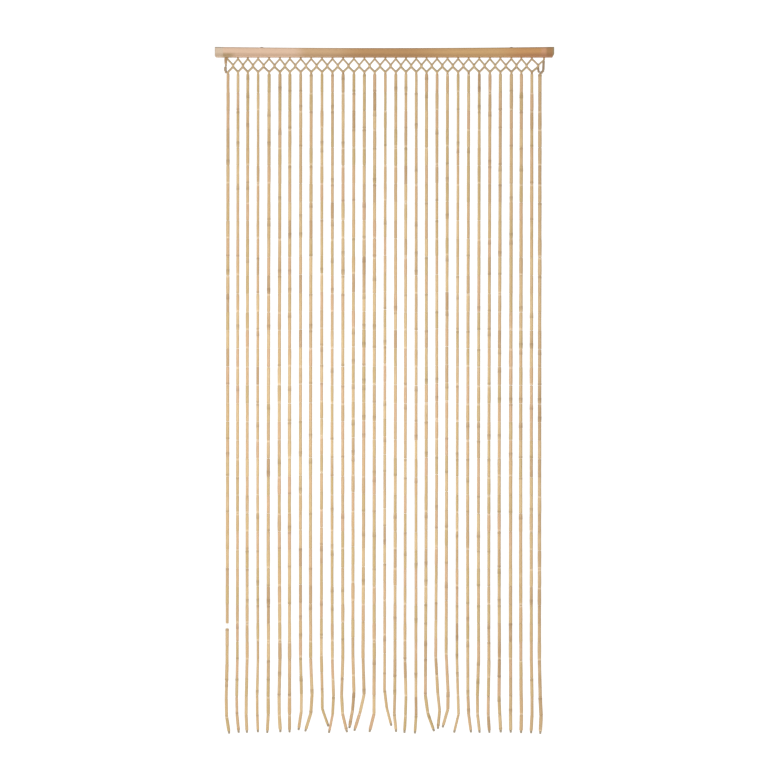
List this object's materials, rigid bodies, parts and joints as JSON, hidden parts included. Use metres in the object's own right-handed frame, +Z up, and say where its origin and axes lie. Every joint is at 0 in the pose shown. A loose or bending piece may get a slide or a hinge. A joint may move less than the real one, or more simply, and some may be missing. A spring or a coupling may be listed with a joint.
{
  "type": "bead door curtain with wooden rail",
  "caption": "Door curtain of bamboo tube strands on threads, hung from a one-row diamond lattice under a straight wooden rail.",
  "frame": {"origin": "middle of the rail's flat back face, which lies against the wall", "axes": "+Z up, along the hanging strands; +X along the rail, to the right seen from the front; +Y into the wall, so the front faces -Y"},
  "size_m": [0.988, 0.018, 2.0016],
  "materials": {
    "rail_wood": "light brown wood with a fine straight grain and a thin clear finish",
    "hanger_steel": "plain dark steel sheet",
    "bamboo_tube": "pale bamboo with a low natural shine, its tan, pink and olive shades changing from tube to tube"
  },
  "bodies": {
    "root": {"rail": "rail_wood", "hanger_left": "hanger_steel", "hanger_right": "hanger_steel", "bead_curtain": "bamboo_tube"}
  },
  "joints": []
}
